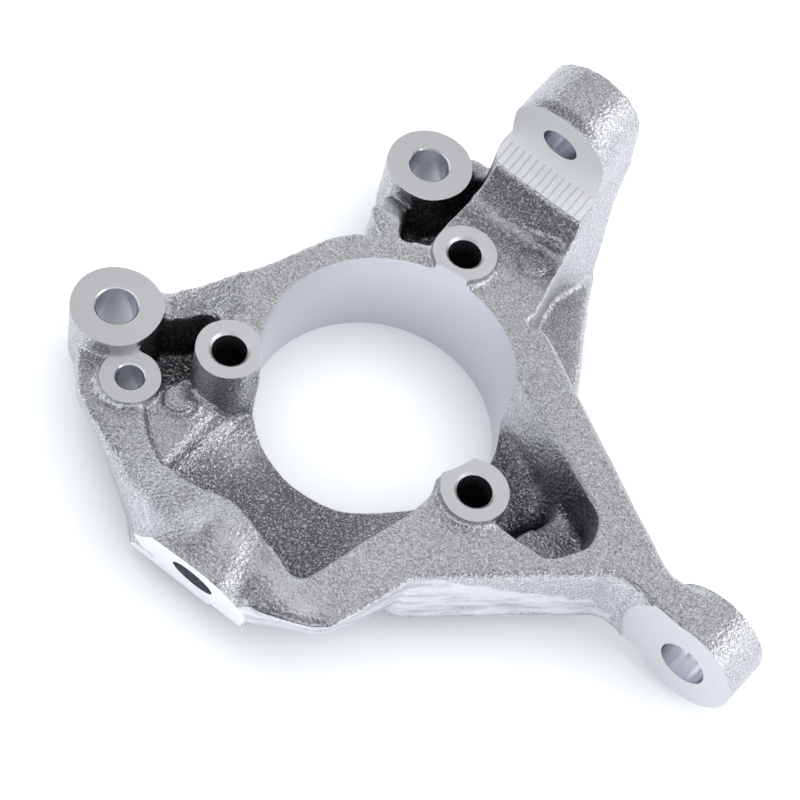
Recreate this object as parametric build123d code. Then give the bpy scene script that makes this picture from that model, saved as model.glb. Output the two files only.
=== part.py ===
"""Front steering knuckle, one iron casting with machined seats.

Origin on the wheel-bearing axis in the outboard hub face, +Z inboard along that
axis, +Y towards the upper ball-joint eye, +X towards the tie-rod eye.
"""
from build123d import *

import math
import os

# Hub: bearing bore, machined pad and the three bearing bolts (M12).
bore_r = 46.0
hub_face_z = 0.0
pad_r = 68.0
pad_top_z = 12.0
ring_r = 56.6
deck_z = 43.8
bolt_circle_r = 56.2
bolt_count = 3
bolt_first_deg = 98.8
bolt_hole_r = 6.25
bolt_boss_r = 12.0
bolt_boss_z = 47.5
hole_chamfer = 1.0

# Caliper ears (M14) and the small bracket boss (M10).
ear_r = 16.5
ear_hole_r = 7.5
ear_back_z = 9.0
ear_front_z = 35.0
lower_ear = (-88.3, -42.4)
upper_ear = (-46.3, 86.9)
bracket_boss = (-66.8, -59.2)
bracket_boss_r = 10.7
bracket_hole_r = 5.0
bracket_face_z = 31.5
bracket_foot = 9.0
bracket_flare = 3.0

# Steering axis: leans inboard towards the upper joint, passes the hub centre line.
pin_x = -3.0
pin_z = 51.8
pin_lean_deg = 13.04
pin_side_deg = 0.89
upper_seat = 101.8
upper_hole_r = 7.32
upper_eye_r = 19.8
upper_eye_depth = 23.3
upper_floor = 19.9
lower_seat = 104.3
lower_hole_r = 8.3
lower_boss_r = 21.0
lower_boss_depth = 25.0
lower_foot_z = 10.5

# Tie-rod eye, its axis lying in the wheel plane.
tie_face = (141.7, -12.2, 25.0)
tie_turn_deg = 4.4
tie_hole_r = 8.85
tie_eye_r = 19.6
tie_eye_depth = 19.0

# Round casting pads beside the lower ear and on the upper arm.
pad_button_r = 5.3
lower_button = (-49.6, -53.0, 30.0)
upper_button = (11.4, 71.9, 45.6)

# Casting thicknesses.
arm_back_z = 12.0
corner_back_z = 22.0
tray_back_z = 1.5
plate_back_z = 6.0
pocket_floor_z = 5.0
pocket_shelf_z = 22.0
edge_r = 2.5


def rounded(corners):
    """Face through (x, y, r) corners, every corner rounded to its own radius."""
    edges = []
    stops = []
    count = len(corners)
    for i in range(count):
        px, py, _ = corners[i - 1]
        x, y, r = corners[i]
        nx, ny, _ = corners[(i + 1) % count]
        here = Vector(x, y, 0)
        a = (Vector(px, py, 0) - here).normalized()
        b = (Vector(nx, ny, 0) - here).normalized()
        half = math.radians(a.get_angle(b)) / 2
        if r == 0 or half > math.radians(89.9):
            stops.append((here, here))
            continue
        reach = 0.48 * min((Vector(px, py, 0) - here).length, (Vector(nx, ny, 0) - here).length)
        run = min(r / math.tan(half), reach)
        r = run * math.tan(half)
        middle = here + (a + b).normalized() * (r / math.sin(half) - r)
        stops.append((here + a * run, here + b * run))
        edges.append(ThreePointArc(here + a * run, middle, here + b * run).edge())
    for i in range(count):
        start = stops[i - 1][1]
        end = stops[i][0]
        if (end - start).length > 1e-4:
            edges.append(Line(start, end).edge())
    return make_face(edges)


def prism(corners, z0, z1, top_r=0.0):
    """Upright body on a rounded outline, its top rim filleted."""
    body = extrude(Pos(0, 0, z0) * rounded(corners), z1 - z0)
    if top_r:
        body = fillet(body.edges().group_by(Axis.Z)[-1], top_r)
    return body


def flare(low, high, z0, z1):
    """Upright body whose outline runs straight from low at z0 to high at z1."""
    return Part() + Solid.make_loft([wire_at(low, z0), wire_at(high, z1)], True)


def wire_at(corners, z):
    """Rounded outline as a wire at height z."""
    return (Pos(0, 0, z) * rounded(corners)).wires()[0]


def hollow(corners, z_top, z_floor, draft, floor_r):
    """Core that opens upwards: drafted walls below z_top, rounded floor rim."""
    depth = z_top - z_floor
    core = extrude(Pos(0, 0, z_top) * rounded(corners), depth, dir=(0, 0, -1), taper=draft)
    if floor_r:
        core = fillet(core.edges().group_by(Axis.Z)[0], floor_r)
    return core + extrude(Pos(0, 0, z_top) * rounded(corners), 30)


def side_yz(corners, x0, x1):
    """Body on a (y, z, r) side outline, running from x0 to x1."""
    return extrude(Plane(origin=(x0, 0, 0), x_dir=(0, 1, 0), z_dir=(1, 0, 0)) * rounded(corners), x1 - x0)


def side_xz(corners, y0, y1):
    """Body on an (x, z, r) side outline, running from y0 down to y1."""
    return extrude(Plane(origin=(0, y0, 0), x_dir=(1, 0, 0), z_dir=(0, -1, 0)) * rounded(corners), y0 - y1)


def post(x, y, r, z0, z1, top_r=0.0):
    """Upright round boss."""
    body = Pos(x, y, (z0 + z1) / 2) * Cylinder(r, z1 - z0)
    if top_r:
        body = fillet(body.edges().group_by(Axis.Z)[-1], top_r)
    return body


lean = math.radians(pin_lean_deg)
side = math.radians(pin_side_deg)
pin_dir = Vector(-math.sin(side), math.cos(side) * math.cos(lean), math.cos(side) * math.sin(lean))
pin_across = Vector(math.cos(side), math.sin(side) * math.cos(lean), math.sin(side) * math.sin(lean))
pin_mid = Vector(pin_x, 0, pin_z)


def pin_plane(along):
    """Plane square to the steering axis, local y up, local z towards the hub."""
    return Plane(origin=pin_mid + pin_dir * along, x_dir=pin_across, z_dir=pin_dir * -1)


turn = math.radians(tie_turn_deg)
tie_out = Vector(-math.sin(turn), -math.cos(turn), 0)
tie_plane = Plane(origin=tie_face, x_dir=(math.cos(turn), -math.sin(turn), 0), z_dir=tie_out)

# Hub ring, full height to begin with.
cast = post(0, 0, ring_r, hub_face_z, deck_z, edge_r)

# Tie-rod arm: two bars round the pocket, meeting in the neck.
cast += prism(
    [
        (18, 44, 6), (30.7, 53.3, 8), (115.7, 5.6, 12), (121.5, 3.0, 6), (137, 5.5, 3),
        (141, -12.4, 3), (117, -10.8, 10), (108.5, -10.6, 10), (92.8, -24.9, 30), (65.1, -51.0, 40),
        (54.5, -62.0, 8), (36, -56, 6), (38.0, -38, 12), (38.5, -20, 6), (0, -16, 6),
    ],
    arm_back_z, deck_z, edge_r,
)
corner_in = [(16, -84.5, 4), (29.5, -83.8, 6), (34.2, -64.0, 15), (37.0, -46, 6)]
corner_high = corner_in + [(60, -48, 6), (54.9, -65, 10), (50.9, -80, 12), (46, -94, 9), (30, -101.3, 20), (19, -106, 4)]
corner_low = corner_in + [(58, -48, 6), (52, -66, 8), (48, -76, 12), (42, -87, 10), (28, -94.6, 20), (16, -103, 4)]
cast += flare(corner_low, corner_high, corner_back_z, deck_z)
foot_in = [(10, -72, 4), (22, -72, 6), (28, -60, 10), (36, -44, 6)]
foot_high = foot_in + corner_low[4:]
foot_low = foot_in + [(x - 4, y + 11, r) for x, y, r in corner_low[4:]]
cast += flare(foot_low, foot_high, plate_back_z, corner_back_z)

# Tray that closes the pocket behind the bars.
tray_high = [
    (24, 44, 6), (60, 31, 20), (94, 13, 8), (103, -4, 8), (96, -18, 8), (74, -34, 10), (40, -34, 8), (24, -20, 6),
]
tray_low = [
    (24, 38, 6), (58, 24, 20), (84, 9, 8), (86, -4, 8), (78, -16, 8), (62, -29, 10), (40, -29, 8), (24, -20, 6),
]
cast += flare(tray_low, tray_high, tray_back_z, arm_back_z + 6)

# Bar from the ring down to the lower ear, its top falling towards the ear.
ear_bar = prism(
    [
        (-38, 42, 8), (-48.3, 32, 25), (-54.6, 14, 30), (-61, -3, 25), (-72.8, -18.6, 25),
        (-88, -30.5, 6), (-84, -42, 4), (-73, -34, 3), (-67.0, -29.0, 4), (-61.4, -22.8, 5),
        (-50, -26, 4), (-36, -18, 6),
    ],
    plate_back_z, deck_z,
)
fall_top = Plane(origin=(-57.5, -12, deck_z), x_dir=(0.7071, -0.7071, 0), z_dir=(-0.268, -0.268, 0.925))
ear_bar -= fall_top * Box(90, 60, 40, align=(Align.CENTER, Align.MAX, Align.MIN))
cast += ear_bar

# Neck up to the upper ear, falling the same way.
ear_neck = prism(
    [(-28, 40, 5), (-46.5, 46, 12), (-50.5, 64, 10), (-56, 82, 5), (-44, 92, 5), (-40.5, 66, 5), (-34, 52, 6)],
    plate_back_z, deck_z,
)
neck_top = Plane(origin=(-40, 52, deck_z), x_dir=(1, 0, 0), z_dir=(-0.10, 0.64, 0.76))
ear_neck -= neck_top * Box(80, 60, 40, align=(Align.CENTER, Align.MIN, Align.MIN))
cast += ear_neck

# Floor plate behind the ears and pockets.
cast += prism(
    [
        (-30, 30, 8), (-46, 40, 10), (-52, 68, 8), (-58, 86, 8), (-40, 100, 10), (-22, 104, 8), (-10, 60, 8),
    ],
    plate_back_z, plate_back_z + 7,
)
cast += prism(
    [
        (-30, 20, 8), (-58, 12, 20), (-72, -18, 20), (-92, -34, 10), (-98, -50, 10), (-80, -67, 8),
        (-60, -78, 20), (-40, -90, 20), (-24, -100, 8), (13, -94, 8), (24, -80, 12), (34, -58, 10), (30, -20, 8),
    ],
    plate_back_z, plate_back_z + 7,
)

# Outer rib from the lower ear past the bracket boss to the lower ball-joint boss.
rib_top = [
    (-120, 0, 0), (-120, 24, 0), (-78, 26.5, 60), (-66, 28, 60), (-52, 30.5, 60), (-40, 33.5, 40),
    (-28, 38, 40), (-14, 43.5, 40), (2, 45.8, 60), (18, 44.6, 60), (34, deck_z - 0.3, 40), (60, deck_z - 0.3, 0), (60, 0, 0),
]
rib_inner = [
    (22, -83.0, 10), (8.5, -81.5, 20), (-6.5, -77.5, 20), (-20, -80, 20), (-35.5, -78.3, 12), (-47, -71.8, 12),
    (-56, -64, 4), (-68, -52, 4), (-80, -46, 4),
]
rib_crown = [
    (-96, -53, 6), (-76, -70.5, 8), (-62.5, -77.5, 20), (-53, -82, 20), (-41, -86, 20), (-29, -89.5, 6),
    (-18, -91.5, 6), (13, -91.5, 4), (20, -89, 6),
] + rib_inner
rib_high = [
    (-97, -54, 6), (-78, -73.5, 8), (-64.5, -80.5, 20), (-55, -85.0, 20), (-44, -91, 20), (-32, -97.4, 6),
    (-26.5, -101.8, 2), (19.5, -101.8, 2), (26, -93, 6),
] + rib_inner
rib_low = [
    (-96, -55.5, 6), (-82, -69, 8), (-72.5, -72.5, 20), (-61.5, -78, 20), (-48, -85.5, 20), (-37, -91.5, 6),
    (-24.5, -97.5, 2), (17.5, -97.5, 2), (22, -91, 6),
] + rib_inner
rib = flare(rib_low, rib_high, lower_foot_z, 27) + flare(rib_high, rib_crown, 27, 50)
cast += rib & side_xz(rib_top, -40, -125)

# Plateau between the bracket boss and the foot of the lower bearing-bolt boss.
cast += prism(
    [(-57, -38, 4), (-55, -46, 4), (-58, -52, 3), (-66, -58, 4), (-54, -70, 4), (-36, -80, 6), (-35, -66, 10),
     (-36, -56, 10), (-37, -46, 8), (-42, -36, 5)],
    plate_back_z, 27.5, 2,
)

# Upper arm: side outline with the milled step, cut to its plan.
arm_side = [
    (20, 12, 0), (20, deck_z, 0), (50, deck_z, 20), (62, 45.8, 20), (83.0, 46.2, 4), (93.2, 52.0, 0), (100, 66, 4),
    (124, 66, 4), (127.5, 54, 8), (120, 40, 30), (110, 20, 30), (100, 9, 20), (88, 3.5, 10), (60, 3.5, 0), (60, 12, 0),
]
arm_high = [
    (-12, 40, 4), (-20.5, 52, 4), (-21.6, 66, 20), (-22.4, 84, 20), (-26.8, 101, 20), (-25.6, 133, 8),
    (14.9, 133, 8), (14.1, 104, 15), (13.9, 96, 15), (17.3, 86, 15), (19.8, 77, 15), (22.0, 67, 15), (25, 54, 5), (18, 38, 5),
]
arm_low = [
    (-12, 40, 4), (-24.5, 52, 4), (-26, 66, 20), (-27, 84, 20), (-30, 101, 20), (-31, 133, 8),
    (22.0, 136, 8), (28.0, 112, 15), (26.8, 95, 15), (21.6, 86, 10), (21.2, 77, 15), (24.2, 67, 15), (27, 54, 5), (20, 38, 5),
]
cast += side_yz(arm_side, -45, 45) & flare(arm_low, arm_high, 3, 58)

# Flat round the upper button, sunk to the deck's level into the root of the arm.
cast -= prism(
    [
        (-45, 30, 0), (-45, 70, 4), (-22.6, 78.2, 10), (-1.5, 81.6, 30), (8.5, 83.9, 20), (16.5, 85.5, 4),
        (19.9, 75.1, 10), (20.6, 64.5, 10), (26, 57.0, 6), (45, 50, 0), (45, 30, 0),
    ],
    deck_z, 70,
)

# Gusset between the upper arm and the tie-rod arm.
cast += prism(
    [(12, 60, 4), (12, 108, 8), (24.5, 108, 6), (31.5, 93, 20), (40.5, 77, 20), (50, 60, 15), (59, 42, 6), (40, 30, 6)],
    3.5, 17, 3,
)

# Upper eye, an arch round the steering axis.
def arch(r, shift, lift):
    """Outline of the upper eye: half round on straight sides."""
    left = shift - 0.6 - r
    right = shift - 0.6 + r
    top = lift + r - 1.8
    return rounded([(left, -34, 2), (left, top, r - 0.2), (right, top, r - 0.2), (right, -34, 2)])


cast += Part() + Solid.make_loft(
    [
        (pin_plane(upper_seat) * arch(upper_eye_r, 0, 0)).wires()[0],
        (pin_plane(upper_seat + upper_eye_depth) * arch(upper_eye_r - 0.5, 0.8, 1.0)).wires()[0],
    ],
    True,
)

# Lower ball-joint boss.
boss = extrude(pin_plane(-lower_seat - 2) * Circle(lower_boss_r), -lower_boss_depth - 2)
boss -= post(0, -100, 60, -20, lower_foot_z)
cast += boss & side_xz(rib_top, -40, -125)

# Tie-rod eye.
cast += extrude(tie_plane * Circle(tie_eye_r), -tie_eye_depth)

# Pocket between the two bars of the tie-rod arm, its floor raised towards the eye.
cast -= hollow(
    [(30, 32.5, 3), (60, 17.6, 60), (90.5, 3.2, 9), (94.6, -8, 9), (86, -22.5, 9), (75.6, -23.0, 8), (44, -23, 8), (20, -14, 8)],
    deck_z, pocket_shelf_z, 2, 2,
)
cast -= prism(
    [(30, 31.5, 4), (60, 16.6, 60), (76.5, 8.8, 6), (69.5, -12, 8), (65, -22.0, 5), (44, -22, 8), (20, -13, 8)],
    pocket_floor_z, pocket_shelf_z + 4,
)

# Recess inside the outer rib.
cast -= prism(
    [
        (-26, -28, 5), (-36, -44, 8), (-37, -58, 10), (-34.5, -78.3, 3), (-20, -79.5, 20), (-6.5, -77.0, 20), (8.5, -81.0, 20),
        (22, -83.0, 10), (29.3, -82.5, 6), (34.0, -64.0, 20), (39.8, -43, 12), (41.7, -31, 8), (39.4, -20, 4), (0, 0, 4),
    ],
    pad_top_z - 2, 70,
)

# Core between the lower ear, the bracket boss and the ring.
cast -= hollow(
    [(-72, -46, 4), (-75, -36, 4), (-68, -29.5, 5), (-61.5, -23.5, 5), (-54, -26, 6), (-51, -36, 6), (-55, -47, 5), (-60, -55, 4)],
    deck_z, 11, 1, 0,
)

# Core between the upper ear and the upper arm.
cast -= hollow(
    [(-22.8, 66, 8), (-22.6, 86, 8), (-24.5, 98, 5), (-36, 97, 4), (-38, 72, 6), (-36, 56, 6), (-30.5, 51.0, 6), (-23, 53, 5)],
    deck_z, 11, 1, 0,
)

# Hub pad, web ramp, raised pocket floor and bolt bosses stand in the hollows.
cast += post(0, 0, pad_r, hub_face_z, pad_top_z, 4)
cast += prism(
    [(30, 34, 8), (50, 26.5, 20), (70, 17.5, 8), (75.5, 9, 8), (69, 0, 10), (60, -8, 8), (30, -10, 8)], 3, pad_top_z + 1, 4,
)
ramp = side_xz(
    [
        (-60, 2, 0), (-60, 27.5, 0), (-38, 27.5, 5), (-33.5, 20.8, 5), (-20, 16.2, 15), (-4, 15.4, 30),
        (17, 16.4, 20), (32, 22.2, 10), (42, 22.6, 0), (42, 2, 0),
    ],
    -24, -84,
)
cast += ramp & prism(
    [(-30, -30, 4), (-38, -42, 6), (-38, -80, 4), (8, -84, 4), (24, -76, 4), (34, -60, 6), (44, -28, 4), (0, -10, 4)],
    2, 60,
)
bolt_spots = []
for i in range(bolt_count):
    angle = math.radians(bolt_first_deg + 360 / bolt_count * i)
    bolt_spots.append((bolt_circle_r * math.cos(angle), bolt_circle_r * math.sin(angle)))
for x, y in bolt_spots:
    cast += post(x, y, bolt_boss_r, hub_face_z, bolt_boss_z)

# Ears, bracket boss and the casting buttons.
for x, y in (lower_ear, upper_ear):
    cast += post(x, y, ear_r, ear_back_z, ear_front_z)
cast += post(bracket_boss[0], bracket_boss[1], bracket_boss_r, ear_back_z, bracket_face_z)
cast += Pos(bracket_boss[0], bracket_boss[1], bracket_face_z - bracket_foot / 2 - 1.0) * Cone(
    bracket_boss_r + bracket_flare, bracket_boss_r, bracket_foot
)
for x, y, z in (lower_button, upper_button):
    cast += post(x, y, pad_button_r, z - 8, z)

# Web between the upper ear and the upper arm.
cast += prism([(-46, 96, 5), (-37, 105, 6), (-22, 106, 5), (-20, 98, 3), (-34, 97, 4)], ear_back_z, 32, 2)

def drill(x, y, r, z_top):
    """Upright through hole, its rim at z_top chamfered."""
    return post(x, y, r, -10, 80) + Pos(x, y, z_top - hole_chamfer / 2) * Cone(r, r + hole_chamfer, hole_chamfer)


# Machined faces: ball-joint seats, milled step, then bore and holes.
cast -= extrude(pin_plane(-lower_seat) * Rectangle(90, 70), 30)
cast -= extrude(tie_plane * Circle(tie_eye_r + 5), 20)
step = pin_plane(upper_seat) * Pos(0, 25 - upper_floor, 0) * Rectangle(70, 50)
cast -= extrude(step, 24)
cast -= post(0, 0, bore_r, -10, 80)
for x, y in bolt_spots:
    cast -= drill(x, y, bolt_hole_r, bolt_boss_z)
for x, y in (lower_ear, upper_ear):
    cast -= post(x, y, ear_r + 1.5, -10, ear_back_z)
    cast -= drill(x, y, ear_hole_r, ear_front_z)
cast -= drill(bracket_boss[0], bracket_boss[1], bracket_hole_r, bracket_face_z)
cast -= extrude(pin_plane(upper_seat) * Circle(upper_hole_r), -40)
cast -= extrude(pin_plane(-lower_seat) * Circle(lower_hole_r), -40)
cast -= extrude(tie_plane * Circle(tie_hole_r), -40)

os.makedirs("parts", exist_ok=True)
export_step(cast, "parts/steering_knuckle.step")
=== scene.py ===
import math

import bmesh
import bpy
from mathutils import Matrix, Vector, noise
from mathutils.bvhtree import BVHTree


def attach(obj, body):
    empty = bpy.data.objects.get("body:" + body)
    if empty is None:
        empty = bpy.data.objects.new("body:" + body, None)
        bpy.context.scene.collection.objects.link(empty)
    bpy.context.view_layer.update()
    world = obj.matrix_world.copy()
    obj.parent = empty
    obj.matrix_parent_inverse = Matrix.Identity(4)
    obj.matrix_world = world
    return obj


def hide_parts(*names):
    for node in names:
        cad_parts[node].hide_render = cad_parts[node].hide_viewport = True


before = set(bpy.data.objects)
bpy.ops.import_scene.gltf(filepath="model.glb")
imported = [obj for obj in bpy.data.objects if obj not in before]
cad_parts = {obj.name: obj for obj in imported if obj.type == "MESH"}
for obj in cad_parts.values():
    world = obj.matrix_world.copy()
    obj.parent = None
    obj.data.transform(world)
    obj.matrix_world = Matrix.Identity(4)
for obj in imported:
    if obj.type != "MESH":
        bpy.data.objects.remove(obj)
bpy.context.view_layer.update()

# Rough casting. The knuckle is one piece of ductile iron, poured in a sand mould. It starts as
# the CAD body in millimetres, with stock left on every face that gets machined, and its corners
# are rounded as sand rounds them.
bore_r = 46.0
bolt_circle_r = 56.2
bolt_first_deg = 98.8
bolt_hole_r = 6.25
boss_r = 12.0
boss_top = 47.5
ears = [Vector((-88.3, -42.4, 0)), Vector((-46.3, 86.9, 0))]
ear_r = 16.5
ear_hole_r = 7.5
ear_top = 35.0
ear_back = 9.0
bracket = Vector((-66.8, -59.2, 0))
bracket_r = 10.7
bracket_hole_r = 5.0
bracket_top = 31.5

# The two ball-joint seats are square to the steering axis, which leans two ways.
lean = math.radians(13.04)
side = math.radians(0.89)
pin_dir = Vector((
    -math.sin(side), math.cos(side) * math.cos(lean), math.cos(side) * math.sin(lean),
))
pin_across = Vector((
    math.cos(side), math.sin(side) * math.cos(lean), math.sin(side) * math.sin(lean),
))
pin_up = (-pin_dir).cross(pin_across)
pin_mid = Vector((-3, 0, 51.8))
upper_seat = pin_mid + pin_dir * 101.8
upper_hole_r = 7.32
step_floor = 19.9
lower_seat = pin_mid - pin_dir * 104.3
lower_hole_r = 8.3
turn = math.radians(4.4)
tie_out = Vector((-math.sin(turn), -math.cos(turn), 0))
tie_face = Vector((141.7, -12.2, 25))
tie_depth = 19.0
tie_hole_r = 8.85
hub_face = Vector((0, 0, 0))
up = Vector((0, 0, 1))
bolts = []
for i in range(3):
    angle = math.radians(bolt_first_deg + 120 * i)
    bolts.append(Vector((bolt_circle_r * math.cos(angle), bolt_circle_r * math.sin(angle), 0)))

# Holes as (point on the axis, axis, radius, reach), and faces as (point, way out, reach).
bored = [
    (hub_face, up, bore_r, 80),
    (lower_seat, pin_dir, lower_hole_r, 40),
    (upper_seat, pin_dir, upper_hole_r, 40),
    (tie_face, tie_out, tie_hole_r, 40),
    (bracket, up, bracket_hole_r, 60),
]
bored += [(spot, up, bolt_hole_r, 60) for spot in bolts]
bored += [(ear, up, ear_hole_r, 60) for ear in ears]
faced = [
    (bracket + up * bracket_top, up, bracket_r + 0.3),
    (hub_face, -up, 80),
    (lower_seat, -pin_dir, 60),
    (upper_seat, -pin_dir, 60),
    (upper_seat - pin_up * step_floor, pin_up, 60),
    (tie_face, tie_out, 30),
    (tie_face - tie_out * tie_depth, -tie_out, 22),
]
faced += [(spot + up * boss_top, up, boss_r + 0.3) for spot in bolts]
faced += [(ear + up * ear_top, up, ear_r + 0.3) for ear in ears]
faced += [(ear + up * ear_back, -up, ear_r + 2) for ear in ears]

face_stock = 2.6
bore_stock = 1.5
near_bore = 0.08
near_face = 0.01
rough = bmesh.new()
rough.from_mesh(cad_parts["steering_knuckle"].data)
bmesh.ops.transform(rough, matrix=Matrix.Scale(1000, 4), verts=rough.verts)
bmesh.ops.remove_doubles(rough, verts=rough.verts, dist=0.002)
shifts = []
for v in rough.verts:
    shift = Vector((0, 0, 0))
    for origin, axis, r, reach in bored:
        away = v.co - origin
        along = away.dot(axis)
        radial = away - axis * along
        if abs(along) < reach and abs(radial.length - r) < near_bore:
            shift -= radial.normalized() * bore_stock
    for origin, normal, reach in faced:
        away = v.co - origin
        if abs(away.dot(normal)) < near_face and away.length < reach:
            shift += normal * face_stock
    shifts.append(shift)
for v, shift in zip(rough.verts, shifts):
    v.co += shift
rough_mesh = bpy.data.meshes.new("rough_casting")
rough.to_mesh(rough_mesh)
rough.free()
casting = bpy.data.objects.new("knuckle_casting", rough_mesh)
bpy.context.scene.collection.objects.link(casting)


def settle(piece):
    """The piece's modifiers become its mesh."""
    bpy.context.view_layer.update()
    graph = bpy.context.evaluated_depsgraph_get()
    done = bpy.data.meshes.new_from_object(piece.evaluated_get(graph))
    piece.modifiers.clear()
    piece.data = done


sand_grid = 1.04
skin = casting.modifiers.new("sand_skin", "REMESH")
skin.mode = "VOXEL"
skin.voxel_size = sand_grid
round_off = casting.modifiers.new("mould_radii", "SMOOTH")
round_off.factor = 0.5
round_off.iterations = 7
settle(casting)

# Mould. Its walls were blended by hand where they meet: (place, reach, passes).
blends = [
    (Vector((15, -98, 41)), 13, 50), (Vector((-26, -95, 38)), 13, 40),
    (Vector((32, -96, 43)), 15, 50), (Vector((-35, -72, 22)), 9, 30),
    (Vector((-34, -62, 22)), 9, 30), (Vector((-36, -50, 25)), 10, 30),
    (Vector((-42, 59, 36)), 8, 25), (Vector((-58, -83, 28)), 10, 20),
    (Vector((-45, -89, 30)), 10, 25), (Vector((-76, -28, 33)), 6, 25),
    (Vector((-69, -24, 37)), 6, 25), (Vector((-62, -20, 40)), 6, 25),
    (Vector((-34, 51, 40)), 9, 30), (Vector((-37, 68, 20)), 10, 30),
    (Vector((62, 8, 15)), 15, 50), (Vector((75, 8, 18)), 13, 50), (Vector((54, 25, 18)), 11, 40),
]
lumpy = bmesh.new()
lumpy.from_mesh(casting.data)
for place, reach, passes in blends:
    near = [v for v in lumpy.verts if (v.co - place).length < reach]
    for _ in range(passes):
        bmesh.ops.smooth_vert(
            lumpy, verts=near, factor=0.5, use_axis_x=True, use_axis_y=True, use_axis_z=True,
        )
lumpy.normal_update()

# Sand leaves the skin lumpy, with small lumps on wide swells. The lower ball-joint barrel stands
# out of the rib's top between two valleys, and the crest beside it falls to the outer wall.
lump_mm = 5.0
lump_rise = 0.14
swell_mm = 15.0
swell_rise = 0.30
rib_half_length = 50
rib_top = 34
rib_wall_y = -103
rib_web_y = -70
barrel_x = -3
barrel_rise = 3.0
barrel_half_width = 7.5
valleys = [(12, 1.0), (-17, 0.7)]
valley_half_width = 4.5
valley_share = 0.45
crest_fall = 1.6

# A low, uneven bead runs along the foot of the upper arm.
foot_bead = [Vector((-22, 77.5, 0)), Vector((18, 80.5, 0))]
foot_bead_z = 40
foot_bead_rise = 1.2
foot_bead_half_width = 2.2
foot_bead_lump_mm = 4

# Two round casting buttons stand in shallow moats, each with an uneven bead of iron round it.
button_tops = [Vector((-49.6, -53.0, 30.0)), Vector((11.4, 71.9, 45.6))]
button_r = 5.3
moat_depth = 0.5
moat_gap = 0.7
moat_half_width = 0.8
bead_rise = 0.7
bead_gap = 2.6
bead_half_width = 0.9
bead_edge = 11
bead_lump_mm = 3.5


def ease(value, start, end):
    """0 at start and beyond it, 1 at end and beyond it, and even between."""
    return min(1, max(0, (value - start) / (end - start)))


def ridge(off, half_width):
    """1 on the middle line of a rounded ridge, and next to nothing two half widths off it."""
    return math.exp(-(off / half_width) ** 2)


def beside_bead(spot):
    """How near the place is to the bead along the foot of the upper arm, from 0 to 1."""
    run = foot_bead[1] - foot_bead[0]
    return ridge(run.cross(spot - foot_bead[0]).z / run.length, foot_bead_half_width)


moves = []
for v in lumpy.verts:
    x, y, z = v.co
    lump = noise.noise(v.co / lump_mm) * lump_rise + noise.noise(v.co / swell_mm) * swell_rise
    move = v.normal * lump
    if v.normal.z > 0.3 and z > rib_top and abs(x) < rib_half_length and y < rib_web_y:
        fade = ease(y, rib_wall_y, -91) * ease(y, -76, -87)
        barrel = ridge(x - barrel_x, barrel_half_width)
        dips = sum(share * ridge(x - valley_x, valley_half_width) for valley_x, share in valleys)
        move += up * fade * barrel_rise * (barrel - valley_share * dips)
        move -= up * crest_fall * ease(x, 10, 18) * ease(y, -86, -99)
    if v.normal.z > 0.3 and z > foot_bead_z and 70 < y < 90 and -22 < x < 20:
        uneven = 1 + 0.5 * noise.noise(v.co / foot_bead_lump_mm)
        move += up * foot_bead_rise * beside_bead(v.co) * uneven
    for top in button_tops:
        away = v.co - top
        out = math.hypot(away.x, away.y)
        if button_r < out < bead_edge and -7 < away.z < -0.6 and v.normal.z > 0.5:
            uneven = 0.8 + 0.9 * noise.noise(v.co / bead_lump_mm)
            move -= up * moat_depth * ridge(out - button_r - moat_gap, moat_half_width)
            move += up * bead_rise * ridge(out - button_r - bead_gap, bead_half_width) * uneven
    moves.append(move)
for v, move in zip(lumpy.verts, moves):
    v.co += move
lumpy.to_mesh(casting.data)
lumpy.free()


def linear(hex_colour):
    """An sRGB hex colour as linear light."""
    out = []
    for i in (1, 3, 5):
        c = int(hex_colour[i:i + 2], 16) / 255
        out.append(c / 12.92 if c <= 0.04045 else ((c + 0.055) / 1.055) ** 2.4)
    return (*out, 1.0)


def node(material, kind, links=(), stops=(), **settings):
    """Adds a node with its settings, a ramp's two stops and its (input, source, output) links."""
    n = material.node_tree.nodes.new(kind)
    for key, value in settings.items():
        name = key.replace("_", " ").title()
        if name in n.inputs:
            n.inputs[name].default_value = value
        else:
            setattr(n, key, value)
    for i, (position, colour) in enumerate(stops):
        n.color_ramp.elements[i].position = position
        n.color_ramp.elements[i].color = linear(colour)
    for target, source, output in links:
        material.node_tree.links.new(source.outputs[output], n.inputs[target])
    return n


def finish(name):
    """A new material without a surface yet, and the coordinates of its piece."""
    m = bpy.data.materials.new(name)
    m.use_nodes = True
    m.node_tree.nodes.clear()
    return m, node(m, "ShaderNodeTexCoord")


# Shot-blasted ductile iron: a grey metal skin of shallow dents and grains about 1 mm across,
# duller in the dents, with small glints painted on it as pale specks in its colour.
grain_mm = 1.3
speck_mm = 0.5
painted_glint_mm = 0.75
cast_iron, place = finish("shot_blasted_ductile_iron")
grain = node(
    cast_iron, "ShaderNodeTexNoise", [("Vector", place, "Object")],
    scale=1000 / grain_mm, detail=1.0, roughness=0.5,
)
speck = node(
    cast_iron, "ShaderNodeTexNoise", [("Vector", place, "Object")],
    scale=1000 / speck_mm, detail=2.0, roughness=0.6,
)
tone = node(
    cast_iron, "ShaderNodeValToRGB", [("Fac", speck, "Fac")],
    stops=[(0.36, "#8e8f93"), (0.62, "#d6d6d9")],
)
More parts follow.
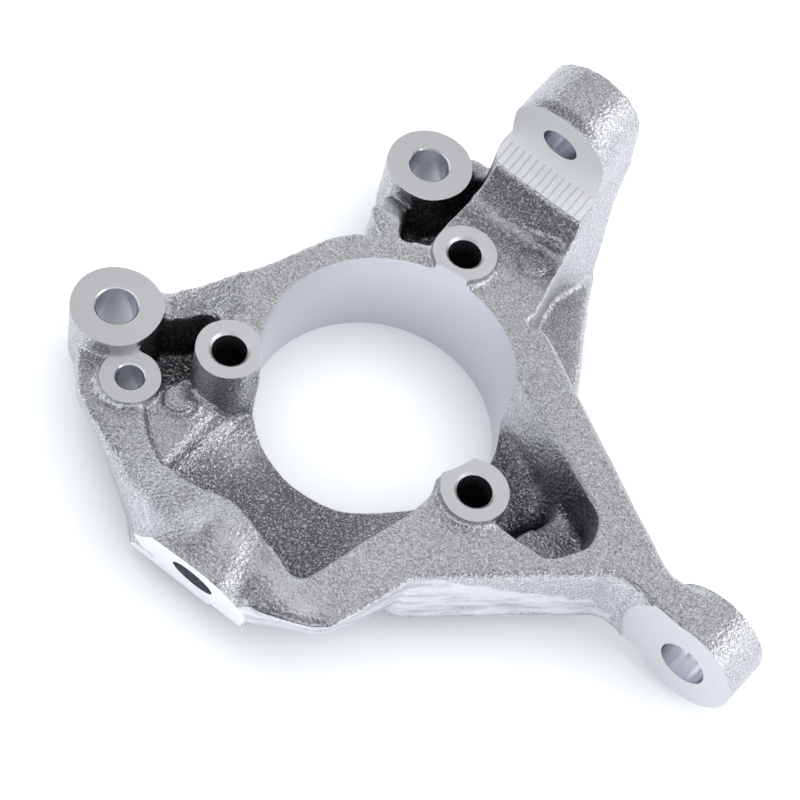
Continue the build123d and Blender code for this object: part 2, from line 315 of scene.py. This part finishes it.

# Where the attribute read here is set, a grinder left the skin smooth and near white, with long
# grey smears along the wall; on the rib's crests the same pale colour is a painted highlight.
smear_mm = 6.0
ground_and_highlight = node(cast_iron, "ShaderNodeAttribute", attribute_name="ground_and_highlight")
along_wall = node(
    cast_iron, "ShaderNodeMapping", [("Vector", place, "Object")], scale=(0.2, 0.2, 1.0),
)
smears = node(
    cast_iron, "ShaderNodeTexNoise", [("Vector", along_wall, "Vector")],
    scale=1000 / smear_mm, detail=4.0, roughness=0.6, distortion=0.6,
)
ground_and_highlight_tone = node(
    cast_iron, "ShaderNodeValToRGB", [("Fac", smears, "Fac")],
    stops=[(0.45, "#dfdfe4"), (0.62, "#acaeb5")],
)
colour = node(
    cast_iron, "ShaderNodeMix", [
        ("Factor", ground_and_highlight, "Fac"), ("A", tone, "Color"), ("B", ground_and_highlight_tone, "Color"),
    ], data_type="RGBA",
)
dull = node(
    cast_iron, "ShaderNodeMapRange", [("Value", grain, "Fac")],
    from_min=0.3, from_max=0.7, to_min=0.46, to_max=0.3,
)
depth = node(
    cast_iron, "ShaderNodeMapRange", [("Value", ground_and_highlight, "Fac")], to_min=1.0, to_max=0.05,
)
relief = node(
    cast_iron, "ShaderNodeBump", [("Height", grain, "Fac"), ("Strength", depth, "Result")],
    distance=0.0005,
)

# Where the attribute "openness" is low, the colour is darkened towards grey: painted shade in
# hollows.
open_air = node(cast_iron, "ShaderNodeAttribute", attribute_name="openness")
occlusion_painted_shade = node(
    cast_iron, "ShaderNodeValToRGB", [("Fac", open_air, "Fac")],
    stops=[(0.15, "#8c8c90"), (0.8, "#ffffff")],
)
skin_colour = node(
    cast_iron, "ShaderNodeMix", [("A", colour, 2), ("B", occlusion_painted_shade, "Color")],
    data_type="RGBA", blend_type="MULTIPLY", factor=1.0,
)
# Painted highlights: pale specks mixed into the colour stand for glints.
painted_glint_noise = node(
    cast_iron, "ShaderNodeTexNoise", [("Vector", place, "Object")],
    scale=1000 / painted_glint_mm, detail=1.0, roughness=0.5,
)
painted_glint = node(
    cast_iron, "ShaderNodeMapRange", [("Value", painted_glint_noise, "Fac")],
    from_min=0.5, from_max=0.68, to_min=0.0, to_max=0.55,
)
painted_glint_colour = node(
    cast_iron, "ShaderNodeMix", [("Factor", painted_glint, "Result"), ("A", skin_colour, 2)],
    data_type="RGBA", b=linear("#ececee"),
)
shader = node(cast_iron, "ShaderNodeBsdfPrincipled", [
    ("Base Color", painted_glint_colour, 2), ("Roughness", dull, "Result"), ("Normal", relief, "Normal"),
], metallic=1.0)
node(cast_iron, "ShaderNodeOutputMaterial", [("Surface", shader, "BSDF")])
casting.data.materials.clear()
casting.data.materials.append(cast_iron)


def place_on(origin, axis):
    """Matrix that stands a shape made along Z on origin, along axis."""
    return Matrix.Translation(origin) @ axis.to_track_quat("Z", "Y").to_matrix().to_4x4()


def turned(bm, origin, axis, profile, segments=64):
    """Solid of revolution about axis, from a (radius, height) line that starts and ends on it."""
    matrix = place_on(origin, axis)
    rim = [bm.verts.new(matrix @ Vector((x, 0, z))) for x, z in profile]
    edges = [bm.edges.new(pair) for pair in zip(rim, rim[1:])]
    bmesh.ops.spin(
        bm, geom=rim + edges, cent=origin, axis=axis, angle=2 * math.pi, steps=segments,
        use_merge=True,
    )


def shaped(piece, name, metals, bm, operation="DIFFERENCE"):
    """Cuts the piece with a solid, or joins them; the solid's faces bring their metals."""
    bmesh.ops.remove_doubles(bm, verts=bm.verts, dist=0.001)
    bmesh.ops.recalc_face_normals(bm, faces=bm.faces)
    mesh = bpy.data.meshes.new(name)
    for metal in metals:
        mesh.materials.append(metal)
    bm.to_mesh(mesh)
    bm.free()
    solid = bpy.data.objects.new(name, mesh)
    bpy.context.scene.collection.objects.link(solid)
    step = piece.modifiers.new(name, "BOOLEAN")
    step.operation = operation
    step.solver = "MANIFOLD"
    step.material_mode = "TRANSFER"
    step.object = solid
    settle(piece)
    bpy.data.objects.remove(solid)


# Casting buttons. They are cast with the rest, in the same shot-blasted iron, and have a small
# bevel round the top.
button_bevel = 0.6
button_foot = -6
bm = bmesh.new()
for top in button_tops:
    turned(bm, top, up, [
        (0, button_foot), (button_r + 0.1, button_foot), (button_r, -button_bevel),
        (button_r - button_bevel, 0), (0, 0),
    ])
shaped(casting, "casting_buttons", [cast_iron], bm, "UNION")

# Milled faces. Boss tops, ears, hub face and the tie-rod eye are faced by a milling cutter: satin
# bright iron with fine tool marks, sharp at its edges against the rough skin.
mark_mm = 0.5
faced_iron, place = finish("milled_iron_face")
marks = node(
    faced_iron, "ShaderNodeTexNoise", [("Vector", place, "Object")],
    scale=1000 / mark_mm, detail=2.0, roughness=0.5,
)
tone = node(
    faced_iron, "ShaderNodeValToRGB", [("Fac", marks, "Fac")],
    stops=[(0.3, "#cbcbce"), (0.7, "#dadadd")],
)
relief = node(
    faced_iron, "ShaderNodeBump", [("Height", marks, "Fac")], strength=0.12, distance=0.0002,
)
shader = node(faced_iron, "ShaderNodeBsdfPrincipled", [
    ("Base Color", tone, "Color"), ("Normal", relief, "Normal"),
], metallic=0.9, roughness=0.36)
node(faced_iron, "ShaderNodeOutputMaterial", [("Surface", shader, "BSDF")])


def mill_disc(bm, origin, axis, r, depth):
    """Round facing cut: everything within r, from origin outwards along axis."""
    bmesh.ops.create_cone(
        bm, cap_ends=True, segments=96, radius1=r, radius2=r, depth=depth,
        matrix=place_on(origin + axis * depth / 2, axis),
    )


mill_height = 12
mill_height_behind = 7
hub_face_r = 85
tie_face_r = 26
tie_back_r = 22
bm = bmesh.new()
for spot in bolts:
    mill_disc(bm, spot + up * boss_top, up, boss_r + 1.5, mill_height)
for ear in ears:
    mill_disc(bm, ear + up * ear_top, up, ear_r + 2, mill_height)
    mill_disc(bm, ear + up * ear_back, -up, ear_r + 1.5, mill_height_behind)
mill_disc(bm, hub_face, -up, hub_face_r, mill_height)
mill_disc(bm, tie_face, tie_out, tie_face_r, mill_height)
mill_disc(bm, tie_face - tie_out * tie_depth, -tie_out, tie_back_r, mill_height)
shaped(casting, "face_mill", [faced_iron], bm)

# The bracket boss is faced as far as the wall of the ear beside it.
ear_wall_gap = 0.15
bm = bmesh.new()
mill_disc(bm, bracket + up * bracket_top, up, bracket_r + 2.8, mill_height)
for v in bm.verts:
    away = Vector((v.co.x - bracket.x, v.co.y - bracket.y, 0))
    while (bracket + away - ears[0]).length < ear_r + ear_wall_gap and away.length > 8:
        away *= 0.99
    v.co.x = bracket.x + away.x
    v.co.y = bracket.y + away.y
shaped(casting, "bracket_mill", [faced_iron], bm)

# Ball-joint seats. Both are milled flat, square to the steering axis: paler and duller than the
# boss tops.
seat_iron, place = finish("milled_iron_seat")
marks = node(
    seat_iron, "ShaderNodeTexNoise", [("Vector", place, "Object")],
    scale=1000 / mark_mm, detail=2.0, roughness=0.5,
)
tone = node(
    seat_iron, "ShaderNodeValToRGB", [("Fac", marks, "Fac")],
    stops=[(0.3, "#f0f0f3"), (0.7, "#f9f9fb")],
)
shader = node(seat_iron, "ShaderNodeBsdfPrincipled", [
    ("Base Color", tone, "Color"),
], metallic=0.4, roughness=0.42)
node(seat_iron, "ShaderNodeOutputMaterial", [("Surface", shader, "BSDF")])

seat_cut = Vector((110, 90, 20))
square = Matrix((pin_across, pin_up, -pin_dir)).transposed().to_4x4()
bm = bmesh.new()
bmesh.ops.create_cube(bm, size=1.0, matrix=Matrix.Diagonal((*seat_cut, 1)))
bmesh.ops.transform(
    bm, verts=bm.verts,
    matrix=Matrix.Translation(lower_seat - pin_dir * seat_cut.z / 2) @ square,
)
shaped(casting, "seat_mill", [seat_iron], bm)

# Step under the upper eye. The side of an end mill cut its floor and chattered: flat panels 3 mm
# wide side by side, with a thin dark line between them and a small radius at the wall.
panel_mm = 3.0
step_radius = 1.0
slot_iron, place = finish("slot_milled_iron")
panels = node(
    slot_iron, "ShaderNodeTexWave", [("Vector", place, "Object")],
    wave_type="BANDS", bands_direction="X", wave_profile="SAW", scale=math.pi * 100 / panel_mm,
    distortion=1.0, detail=1.0,
)
tone = node(
    slot_iron, "ShaderNodeValToRGB", [("Fac", panels, "Fac")],
    stops=[(0.0, "#d2d2d6"), (0.35, "#fefeff")],
)
relief = node(
    slot_iron, "ShaderNodeBump", [("Height", panels, "Fac")], strength=0.6, distance=0.0003,
)
shader = node(slot_iron, "ShaderNodeBsdfPrincipled", [
    ("Base Color", tone, "Color"), ("Normal", relief, "Normal"),
], metallic=0.1, roughness=0.42)
node(slot_iron, "ShaderNodeOutputMaterial", [("Surface", shader, "BSDF")])

step_cut = Vector((70, 50, 24))
bm = bmesh.new()
bmesh.ops.create_cube(bm, size=1.0, matrix=Matrix.Diagonal((*step_cut, 1)))
for f in bm.faces:
    f.material_index = 1 if f.normal.y < -0.5 else 0
corner = [e for e in bm.edges if all(v.co.y < 0 and v.co.z < 0 for v in e.verts)]
bmesh.ops.bevel(
    bm, geom=corner, offset=step_radius, offset_type="OFFSET", segments=4, profile=0.5,
    affect="EDGES", material=-1,
)
step_mid = upper_seat - pin_dir * step_cut.z / 2 + pin_up * (step_cut.y / 2 - step_floor)
bmesh.ops.transform(bm, verts=bm.verts, matrix=Matrix.Translation(step_mid) @ square)
shaped(casting, "step_mill", [seat_iron, slot_iron], bm)

# Bored holes. The bearing bore, ears, eyes and bracket hole are turned to size: bright walls with
# fine rings round them.
ring_mm = 0.6
bored_iron, place = finish("bored_iron_wall")
squeeze = node(
    bored_iron, "ShaderNodeMapping", [("Vector", place, "Object")], scale=(0.03, 0.03, 1.0),
)
rings = node(
    bored_iron, "ShaderNodeTexNoise", [("Vector", squeeze, "Vector")],
    scale=1000 / ring_mm, detail=2.0, roughness=0.6,
)
relief = node(
    bored_iron, "ShaderNodeBump", [("Height", rings, "Fac")], strength=0.12, distance=0.0002,
)
shader = node(
    bored_iron, "ShaderNodeBsdfPrincipled", [("Normal", relief, "Normal")],
    base_color=linear("#d3d4da"), metallic=0.95, roughness=0.2,
)
node(bored_iron, "ShaderNodeOutputMaterial", [("Surface", shader, "BSDF")])


def drill(bm, origin, axis, r, behind, ahead, chamfer=0, segments=64):
    """Turned cutter: a hole along axis, opened to a chamfer at origin."""
    profile = [(0, -behind), (r, -behind)]
    if chamfer:
        profile += [(r, -chamfer), (r + chamfer + 2, 2)]
    profile += [(profile[-1][0], ahead), (0, ahead)]
    turned(bm, origin, axis, profile, segments)


hole_depth = 60
eye_depth = 40
lead_in = 12
ear_chamfer = 0.5
bm = bmesh.new()
drill(bm, hub_face, up, bore_r, 20, 70, segments=180)
for ear in ears:
    drill(bm, ear + up * ear_top, up, ear_hole_r, hole_depth, lead_in, ear_chamfer)
drill(
    bm, bracket + up * bracket_top, up, bracket_hole_r, hole_depth, lead_in, ear_chamfer,
)
drill(bm, lower_seat, -pin_dir, lower_hole_r, eye_depth, lead_in)
drill(bm, upper_seat, -pin_dir, upper_hole_r, eye_depth, lead_in)
drill(bm, tie_face, tie_out, tie_hole_r, eye_depth, lead_in)
shaped(casting, "boring_bar", [bored_iron], bm)

# Bolt holes. They are only drilled, so rough inside; their walls are coloured nearly black as
# painted shade for the deep holes, and each has a bright chamfer.
dark_painted_drilled_iron, place = finish("drilled_hole_painted_shade")
grooves = node(
    dark_painted_drilled_iron, "ShaderNodeTexNoise", [("Vector", place, "Object")],
    scale=1000 / ring_mm, detail=2.0, roughness=0.6,
)
tone = node(
    dark_painted_drilled_iron, "ShaderNodeValToRGB", [("Fac", grooves, "Fac")],
    stops=[(0.35, "#3c3c3f"), (0.65, "#66676a")],
)
shader = node(dark_painted_drilled_iron, "ShaderNodeBsdfPrincipled", [
    ("Base Color", tone, "Color"),
], metallic=0.8, roughness=0.55)
node(dark_painted_drilled_iron, "ShaderNodeOutputMaterial", [("Surface", shader, "BSDF")])

bolt_chamfer = 1.0
bm = bmesh.new()
for spot in bolts:
    drill(bm, spot + up * boss_top, up, bolt_hole_r, hole_depth, lead_in, bolt_chamfer)
bm.normal_update()
for f in bm.faces:
    on_chamfer = f.calc_center_median().z > boss_top - bolt_chamfer - 0.1
    f.material_index = 1 if on_chamfer else 0
shaped(casting, "twist_drill", [dark_painted_drilled_iron, faced_iron], bm)

# Painted shade. Hollows are painted darker than the open skin, as if less light reached them. Rays
# over each point of the skin count how open it stands.
spoke_count = 20
golden_angle = 2.39996
shade_reach = 70
skin_gap = 0.4
even_passes = 4
done = bmesh.new()
done.from_mesh(casting.data)
done.normal_update()
tree = BVHTree.FromBMesh(done)
spokes = []
for i in range(spoke_count):
    rise = math.sqrt(1 - (i + 0.5) / spoke_count)
    flat = math.sqrt(1 - rise * rise)
    around = golden_angle * i
    spokes.append(Vector((flat * math.cos(around), flat * math.sin(around), rise)))
seen = []
for v in done.verts:
    stand = v.normal.to_track_quat("Z", "Y").to_matrix() @ Matrix.Rotation(2.4 * v.index, 3, "Z")
    start = v.co + v.normal * skin_gap
    hits = [tree.ray_cast(start, stand @ spoke, shade_reach)[0] for spoke in spokes]
    seen.append(hits.count(None) / spoke_count)
for _ in range(even_passes):
    spread = []
    for v in done.verts:
        around = sum(seen[e.other_vert(v).index] for e in v.link_edges)
        spread.append((seen[v.index] + around) / (1 + len(v.link_edges)))
    seen = spread

# More painted shade is laid on the web beside the bore, apart from a knoll on it, in the pocket of
# the steering arm and on the root of the upper arm, apart from the bead there.
painted_shade_weight = 1.25
web_painted_shade = 0.55
web_knoll = Vector((-27, -48))
knoll_area = 110
pocket_painted_shade = 0.5
root_painted_shade = 0.5
openness = done.verts.layers.float.new("openness")
for v in done.verts:
    x, y, z = v.co
    facing_up = v.normal.z
    painted_shade_share = 0
    if x < 45 and y < -10 and math.hypot(x, y) < 100:
        knoll = math.exp(-((x - web_knoll.x) ** 2 + (y - web_knoll.y) ** 2) / knoll_area)
        painted_shade_share = web_painted_shade * ease(z, 28, 20) * ease(facing_up, 0.5, 0.8) * (1 - knoll)
    elif x > 40 and -20 < y < 40 and z < 24:
        painted_shade_share = pocket_painted_shade * ease(z, 24, 14) * ease(facing_up, 0.3, 0.6) * ease(x, 85, 70)
    elif y > 55 and z > 38 and abs(x) < 30:
        painted_shade_share = root_painted_shade * ease(y, 60, 72) * ease(facing_up, 0.5, 0.8) * ease(y, 101, 99)
        painted_shade_share *= 1 - beside_bead(v.co)
    v[openness] = seen[v.index] * (1 - painted_shade_weight * painted_shade_share)

# Flash. The seam along the outer wall of the lower bar was ground off by hand, over the whole
# wall at the corner and only its lower part farther out along the bar. Crests of the rib's top
# get a painted highlight in the same pale colour: (x, y, reach).
whole_wall_x = 58
band_top = 41.0
band_fall = 0.42
band_wave = 2.5
band_foot = 14
foot_wave = 2
painted_highlights = [
    (-7, -94, 5), (0, -92, 5), (6, -90, 4), (-25, -95, 5), (18, -90, 5), (27, -90, 5), (36, -92, 6),
]
painted_highlight_share = 0.6
ground_and_highlight_level = done.verts.layers.float.new("ground_and_highlight")
for v in done.verts:
    x, y, z = v.co
    level = 0
    if v.normal.z > 0.5 and z > rib_top:
        for spot_x, spot_y, reach in painted_highlights:
            off = (x - spot_x) ** 2 + (y - spot_y) ** 2
            level = max(level, painted_highlight_share * math.exp(-off / reach ** 2))
    if -20 < x < 112 and y < -8 and y < -96 + 0.75 * (x + 20):
        outward = 0.5 * v.normal.x - 0.85 * v.normal.y
        wall = ease(outward, 0.55, 0.7) * ease(v.normal.z, 0.45, 0.3)
        top = 60 if x < whole_wall_x else band_top - band_fall * (x - 65)
        top += band_wave * noise.noise(v.co / 6)
        low = band_foot + foot_wave * noise.noise(v.co / 9)
        wall *= ease(z, top, top - 0.8) * ease(z, low, low + 1.5)
        level = max(level, wall)
    v[ground_and_highlight_level] = level

# The skin is smooth to the light, and sharp where a cutter left an edge. The mesh goes to metres.
cutter_edge = math.radians(30)
bmesh.ops.transform(done, matrix=Matrix.Scale(0.001, 4), verts=done.verts)
for f in done.faces:
    f.smooth = True
for e in done.edges:
    kinds = {f.material_index for f in e.link_faces}
    folded = kinds != {0} and e.calc_face_angle(0) > cutter_edge
    e.smooth = len(kinds) == 1 and not folded
done.to_mesh(casting.data)
done.free()
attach(casting, "root")
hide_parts("steering_knuckle")

# Table: white board that glows a little, as a light table does for catalogue pictures. Under the
# casting and in its holes the glow is dimmed by an occlusion term: a painted shadow on the table.
table_half = 3.0
table_glow = 0.7
table_mesh = bpy.data.meshes.new("table")
bm = bmesh.new()
bmesh.ops.create_grid(bm, x_segments=1, y_segments=1, size=table_half)
bm.to_mesh(table_mesh)
bm.free()
table = bpy.data.objects.new("table", table_mesh)
bpy.context.scene.collection.objects.link(table)
white_table, place = finish("white_table")
board = node(
    white_table, "ShaderNodeBsdfPrincipled", base_color=linear("#e7e8eb"), roughness=0.9,
)
board.inputs["Specular IOR Level"].default_value = 0.0
painted_contact_shadow = node(white_table, "ShaderNodeAmbientOcclusion", distance=0.03)
level = node(white_table, "ShaderNodeMath", [(0, painted_contact_shadow, "AO")], operation="MULTIPLY")
level.inputs[1].default_value = table_glow
glow = node(
    white_table, "ShaderNodeEmission", [("Strength", level, "Value")], color=linear("#f9fcff"),
)
both = node(white_table, "ShaderNodeAddShader", [(0, board, "BSDF"), (1, glow, "Emission")])
node(white_table, "ShaderNodeOutputMaterial", [("Surface", both, "Shader")])
table_mesh.materials.append(white_table)

# Room: white walls all round and a dim ceiling, so that upright faces shine and faces that look
# up stay darker; the camera sees plain white.
wall_light = 1.17
ceiling_light = 0.10
walls_end = math.sin(math.radians(30))
ceiling_start = math.sin(math.radians(46))
room = bpy.data.worlds.new("room")
bpy.context.scene.world = room
room.use_nodes = True
room.node_tree.nodes.clear()
path = node(room, "ShaderNodeLightPath")
way = node(room, "ShaderNodeTexCoord")
height = node(room, "ShaderNodeSeparateXYZ", [("Vector", way, "Generated")])
climb = node(
    room, "ShaderNodeMapRange", [("Value", height, "Z")], interpolation_type="SMOOTHSTEP",
    from_min=walls_end, from_max=ceiling_start, to_min=wall_light, to_max=ceiling_light,
)
walls = node(
    room, "ShaderNodeBackground", [("Strength", climb, "Result")], color=linear("#f9fcff"),
)
backdrop = node(room, "ShaderNodeBackground", color=linear("#ffffff"), strength=1.0)
view = node(room, "ShaderNodeMixShader", [
    ("Fac", path, "Is Camera Ray"), (1, walls, "Background"), (2, backdrop, "Background"),
])
node(room, "ShaderNodeOutputWorld", [("Surface", view, "Shader")])


def softbox(name, width, depth, centre, watts):
    """A rectangular area lamp that faces the knuckle."""
    data = bpy.data.lights.new(name, "AREA")
    data.shape = "RECTANGLE"
    data.size = width
    data.size_y = depth
    data.energy = watts
    lamp = bpy.data.objects.new(name, data)
    lamp.matrix_world = place_on(Vector(centre), Vector(centre))
    bpy.context.scene.collection.objects.link(lamp)


# One softbox hangs behind the knuckle, where the boss tops mirror it to the camera, one stands on
# the right, and a narrow one hangs overhead. Sizes are in metres.
softbox("rear_softbox", 0.8, 0.5, (-0.235, 0.59, 1.02), 1.3)
softbox("right_softbox", 0.9, 0.8, (0.83, 0.42, 0.75), 3.4)
softbox("overhead_strip", 1.2, 0.35, (0, -0.025, 1.1), 1.7)

# Camera: where the photograph was taken from, about 0.7 m away, looking down at 58 degrees.
camera_data = bpy.data.cameras.new("camera")
camera_data.sensor_width = 36.0
camera_data.lens = 89.78
camera = bpy.data.objects.new("camera", camera_data)
camera_place = Vector((0.14818, -0.34847, 0.62961))
right = Vector((0.7786, 0.6043, 0.1689))
upward = Vector((-0.5953, 0.6264, 0.5033))
back = right.cross(upward).normalized()
aim = Matrix((right, upward, back)).transposed().to_4x4()
camera.matrix_world = Matrix.Translation(camera_place) @ aim
bpy.context.scene.collection.objects.link(camera)
bpy.context.scene.camera = camera

bpy.context.scene.view_settings.view_transform = "Standard"
